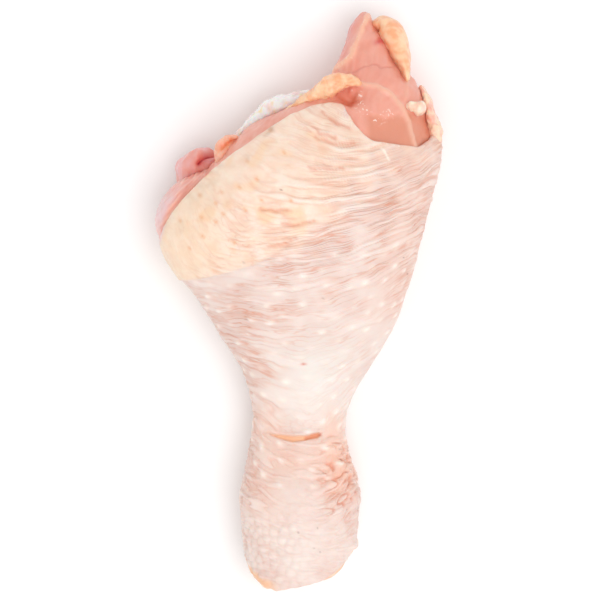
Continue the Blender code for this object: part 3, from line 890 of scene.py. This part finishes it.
def lump(spine, rough, seed, rows, columns, blunt=2.6):
    """A soft body swept along (x, y, z, half width, half height) places, with uneven sides.
    Returns its points and outward directions."""
    spine = np.array(spine, float)
    at = np.arange(len(spine))
    share = np.linspace(0, 1, rows)
    line = np.stack(
        [along(np.stack([at, spine[:, k]], 1), share * at[-1]) for k in range(5)], -1
    )
    ahead = np.gradient(line[:, :2], axis=0)
    ahead /= np.linalg.norm(ahead, axis=1)[:, None]
    full = np.clip(1 - np.abs(2 * share - 1) ** blunt, 0, 1) ** (1 / blunt)
    turn = np.linspace(0, math.tau, columns, endpoint=False)
    width = (line[:, 3] * full)[:, None] * np.cos(turn)
    height = (line[:, 4] * full)[:, None] * np.sin(turn)
    x = line[:, 0, None] + ahead[:, 1, None] * width
    y = line[:, 1, None] - ahead[:, 0, None] * width
    points = np.stack([x, y, line[:, 2, None] + height], -1)
    normal = outward(points)
    size = line[:, 3].mean()
    uneven = mottle(points, size * 1.6, seed) + 0.45 * mottle(points, size * 0.6, seed + 1)
    return points + normal * (rough * size * uneven * np.sqrt(full)[:, None])[..., None], normal


MUSCLE_LIFT = 0.3
SIDE_MUSCLE = (
    (-17.0, 33.0, 15.0, 1.4, 5.0), (-21.0, 29.6, 15.0, 2.5, 8.0), (-25.4, 26.6, 15.5, 3.4, 10.0),
    (-28.6, 23.4, 16.0, 4.0, 11.5), (-30.6, 19.4, 16.0, 3.9, 11.5), (-31.2, 15.0, 16.0, 2.8, 9.5),
    (-30.9, 10.2, 16.0, 1.4, 6.0),
)
points, normal = lump(SIDE_MUSCLE, 0.08, 41, 150, 120)
way = heading_on(normal, np.radians(50) + 0 * points[..., 0])
fibre = drawn(points, way, mottle(points, 0.7, 42), 4.0)
points = points + normal * (0.06 * fibre)[..., None]
points[..., 2] = np.maximum(points[..., 2], MUSCLE_LIFT)
film = soft_step(-0.5, -0.9, normal[..., 0] * 0.85 - normal[..., 1] * 0.5)
film = film * soft_step(30, 22, points[..., 1])
film = np.clip(film + 0.2 * mottle(points, 2.0, 43), 0, 1)
fibre = np.clip(0.5 + 0.2 * fibre, 0, 1)
side_muscle = laid("side_muscle_strip", points, {"film": film, "fibre": fibre})
lean = Finish("outer_muscle", 0.32, 0.35, 1.6)
tone = lean.mix(lean.ramp(lean.mark("fibre"), 0.1, 0.9), (232, 154, 136), (244, 184, 166))
tone = lean.mix(lean.mark("film") * 0.85, tone, (234, 200, 202))
lean_done = lean.done(tone, lean.noise(500.0, 3.0), 0.15)
fitted(side_muscle, lean_done, ["side_muscle"])

# ---------------------------------------------------------------------------------------------
# The small cut lobe of muscle at the knee: rounded, purplish outside, with a dark red hollow
# where the knife went in.
KNEE_MUSCLE = (
    (-28.2, 26.6, 8.8, 2.6, 4.8), (-26.0, 30.8, 9.8, 4.1, 7.2), (-23.0, 33.6, 10.2, 3.3, 7.2),
    (-18.4, 35.0, 9.8, 1.8, 5.4),
)
GASH = ((-23.6, 33.0), (-21.9, 34.6), (-19.6, 35.6))
GASH_RIM = ((-24.6, 32.4), (-24.2, 35.6))
points, normal = lump(KNEE_MUSCLE, 0.2, 51, 130, 110)
top = soft_step(0.0, 0.6, normal[..., 2])
gash = near_line(points, GASH, 1.4) * top
crest = near_line(points, GASH_RIM, 0.8) * top
points = points + normal * (0.5 * crest - 2.4 * gash)[..., None]
points[..., 2] = np.maximum(points[..., 2], MUSCLE_LIFT)
knee_muscle = laid(
    "knee_muscle_lobe",
    points,
    {"gash": gash, "veil": np.clip(0.45 + 0.9 * mottle(points, 3.0, 52), 0, 1)},
)
cut = Finish("cut_muscle", 0.3, 0.35, 1.6)
tone = cut.mix(cut.mark("veil"), (234, 158, 144), (236, 182, 182))
tone = cut.mix(cut.ramp(cut.mark("gash"), 0.15, 0.8), tone, (216, 92, 94))
fitted(knee_muscle, cut.done(tone, cut.noise(450.0, 3.0), 0.2), ["knee_muscle"])

# ---------------------------------------------------------------------------------------------
# The loose flap: a curl of orange tissue caught between the lobe and the skin. A dip near its
# upper end is painted the deepest orange, as shade.
LOOSE_FLAP = (
    (-19.8, 31.2, 22.6, 0.9, 1.8), (-18.9, 33.8, 23.2, 1.5, 2.6), (-17.8, 36.4, 22.8, 2.1, 2.8),
    (-16.4, 38.0, 22.0, 1.7, 2.4), (-14.0, 38.8, 21.0, 0.8, 1.6),
)
DIP = ((-18.6, 36.4), (-16.6, 37.6), (-15.0, 38.0))
points, normal = lump(LOOSE_FLAP, 0.24, 61, 90, 70)
top = soft_step(0.0, 0.6, normal[..., 2])
# The dip sinks in and is painted deep orange as shade in it.
shaded_dip = near_line(points, DIP, 0.9) * top
points = points - normal * (0.9 * shaded_dip)[..., None]
flap = laid("loose_flap_curl", points, {"shaded_dip": shaded_dip})
fatty = Finish("orange_tissue", 0.35, 0.35, 1.5)
tone = fatty.mix(fatty.ramp(fatty.noise(350.0), 0.4, 0.6), (244, 172, 138), (248, 192, 168))
tone = fatty.mix(fatty.mark("shaded_dip"), tone, (240, 140, 96))
fitted(flap, fatty.done(tone, fatty.noise(600.0), 0.15), ["loose_flap"])

# ---------------------------------------------------------------------------------------------
# The cartilage: a wet white rim with a scalloped, half clear membrane, between the muscle and
# the table at the upper left.
CARTILAGE = (
    (-16.4, 38.2, 12.0, 1.0, 2.6), (-11.6, 42.2, 13.0, 1.8, 3.4), (-6.4, 45.6, 14.0, 3.0, 3.8),
    (-1.0, 47.6, 14.4, 2.4, 3.4), (4.6, 49.8, 14.4, 1.4, 2.4), (8.6, 52.0, 14.0, 0.6, 1.4),
)
points, normal = lump(CARTILAGE, 0.24, 71, 140, 80)
# Random pink tint, and painted shade on the sides that face down.
tint_and_shade = 1.3 * mottle(points, 2.6, 72) + soft_step(0.2, -0.7, normal[..., 2])
cartilage = laid(
    "cartilage_rim",
    points,
    {
        "tint_and_shade": np.clip(tint_and_shade, 0, 1),
        "butter": np.clip(mottle(points, 1.5, 73) * 2 - 0.6, 0, 1),
    },
)
gristle = Finish("white_cartilage", 0.22, 0.4, 1.6)
tone = gristle.mix(gristle.mark("tint_and_shade"), (243, 240, 238), (240, 212, 204))
tone = gristle.mix(gristle.mark("butter") * 0.8, tone, (246, 220, 160))
fitted(cartilage, gristle.done(tone, gristle.noise(400.0), 0.25), ["cartilage"])

# ---------------------------------------------------------------------------------------------
# The fat at the knee: a yellow tongue over the flesh above the skin's folded corner, a long pad
# down the right of the lobe, a strip on the right side, and a white bead with pinkish patches.
FAT_RIDGE = (
    (14.9, 51.3, 27.0, 0.9, 1.0), (13.2, 52.0, 27.4, 1.5, 1.7), (10.6, 52.2, 27.6, 1.9, 2.1),
    (7.9, 51.0, 27.2, 2.4, 2.6), (5.2, 49.6, 26.2, 2.2, 2.7), (2.6, 48.3, 25.0, 1.5, 2.5),
    (0.0, 47.0, 23.8, 1.1, 2.2), (-3.4, 45.2, 22.4, 0.8, 1.6),
)
FAT_PAD = (
    (17.4, 67.0, 12.8, 1.5, 3.4), (20.4, 66.0, 13.8, 3.0, 5.2), (22.8, 62.6, 15.2, 3.3, 6.0),
    (24.7, 57.6, 17.0, 2.2, 5.4), (25.7, 53.8, 20.0, 1.1, 3.6), (26.0, 51.0, 22.0, 0.5, 1.6),
)
CORNER_FAT = (
    (29.2, 51.6, 18.0, 0.8, 2.0), (30.4, 48.0, 19.4, 1.3, 3.4), (31.2, 44.6, 20.2, 1.3, 4.0),
    (32.2, 41.4, 20.6, 1.9, 4.8), (32.8, 38.4, 20.8, 1.7, 4.6), (33.0, 36.0, 20.6, 0.8, 2.6),
)
BEAD = (
    (25.2, 45.9, 27.0, 1.0, 1.0), (26.4, 46.1, 27.2, 1.3, 1.3), (27.5, 46.0, 26.9, 1.3, 1.3),
    (28.8, 45.6, 26.4, 2.1, 2.1), (30.2, 45.0, 25.8, 1.8, 1.8),
)
butter = Finish("yellow_fat", 0.36, 0.35, 1.5)
patchy = butter.ramp(butter.noise(300.0, 4.0), 0.4, 0.62)
tone = butter.mix(patchy, (245, 176, 132), (251, 204, 164))
tone = butter.mix(butter.mark("knob") * 0.55, tone, (253, 218, 184))
# Painted shade on the sides that face down.
tone = butter.mix(butter.mark("shade_and_patches") * 0.7, tone, (238, 160, 132))
butter_done = butter.done(tone, butter.noise(600.0), 0.2)
knots = Finish("pink_fat", 0.34, 0.35, 1.4)
# Painted shade on the sides that face down, and random patches on the side strip.
tone = knots.mix(knots.mark("shade_and_patches"), (250, 214, 186), (242, 182, 162))
tone = knots.mix(knots.mark("knob") * 0.5, tone, (252, 226, 200))
knots_done = knots.done(tone, knots.noise(600.0), 0.15)
white = Finish("white_bead", 0.25, 0.4, 1.2)
tone = white.mix(white.mark("knob"), (241, 203, 180), (248, 227, 206))
white_done = white.done(tone, white.noise(500.0), 0.1)
for name, spine, rough, seed, material, node, slot in (
    ("fat_tongue", FAT_RIDGE, 0.3, 81, butter_done, "fat_ridge", "yellow_fat"),
    ("fat_cushion", FAT_PAD, 0.13, 84, butter_done, "fat_pad", "yellow_fat"),
    ("side_fat", CORNER_FAT, 0.3, 87, knots_done, "corner_fat", "yellow_fat"),
    ("white_bead", BEAD, 0.1, 90, white_done, "knee_bead", "cartilage"),
):
    points, normal = lump(spine, rough, seed, 130, 90)
    knob = np.clip(0.4 + 1.1 * mottle(points, 1.5, seed + 2), 0, 1)
    # The sides that face down are painted darker as shade. On the side strip, random patches take
    # the same colour.
    shade_and_patches = soft_step(0.3, -0.35, normal[..., 2] + 0.3 * mottle(points, 2.0, seed + 3))
    if name == "side_fat":
        shade_and_patches = np.maximum(shade_and_patches, soft_step(-0.1, 0.35, mottle(points, 2.4, seed + 4)))
    piece = laid(name, points, {"knob": knob, "shade_and_patches": shade_and_patches})
    fitted(piece, material, [node])

# ---------------------------------------------------------------------------------------------
# The white table, the soft light of a big lamp overhead and the camera straight above. Sizes
# here are in metres.
TABLE_SIDE, TABLE_DROP = 6.0, 0.0001
SKY_STRENGTH, LAMP_STRENGTH = 0.81, 1.15
LAMP_FROM = (0.2, -0.22, 1.0)
LAMP_SPREAD = 36
CAMERA_AT = (0.00045, 0.0004, 1.2)
# The camera's view is this wide at the height of the leg's widest outline.
VIEW_WIDE, OUTLINE_HEIGHT, FILM_WIDE = 0.144, 0.018, 36

bpy.ops.object.select_all(action="DESELECT")
bpy.ops.mesh.primitive_plane_add(size=TABLE_SIDE, location=(0, 0, -TABLE_DROP))
table = bpy.context.object
table.name = "table"
board = bpy.data.materials.new("white_table")
board.use_nodes = True
board.node_tree.nodes["Principled BSDF"].inputs["Base Color"].default_value = (0.98, 0.98, 0.98, 1)
board.node_tree.nodes["Principled BSDF"].inputs["Roughness"].default_value = 0.9
table.data.materials.append(board)
table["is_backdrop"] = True

world = bpy.data.worlds.new("studio")
bpy.context.scene.world = world
world.use_nodes = True
world.node_tree.nodes["Background"].inputs["Color"].default_value = (1, 1, 1, 1)
world.node_tree.nodes["Background"].inputs["Strength"].default_value = SKY_STRENGTH
bpy.ops.object.light_add(type="SUN", location=(0.3, -0.3, 1.5))
lamp = bpy.context.object
lamp.data.energy = LAMP_STRENGTH
lamp.data.angle = math.radians(LAMP_SPREAD)
lamp.rotation_euler = Vector(LAMP_FROM).to_track_quat("Z", "Y").to_euler()
bpy.context.scene.view_settings.view_transform = "Standard"

bpy.ops.object.camera_add(location=CAMERA_AT, rotation=(0, 0, 0))
camera = bpy.context.object
camera.data.sensor_width = FILM_WIDE
camera.data.lens = FILM_WIDE * (CAMERA_AT[2] - OUTLINE_HEIGHT) / VIEW_WIDE
bpy.context.scene.camera = camera

low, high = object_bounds()
('{"cad": %s, "visual": %s}\n'
    % ([list(map(float, c)) for c in cad_box], [list(map(float, c)) for c in (low, high)]))
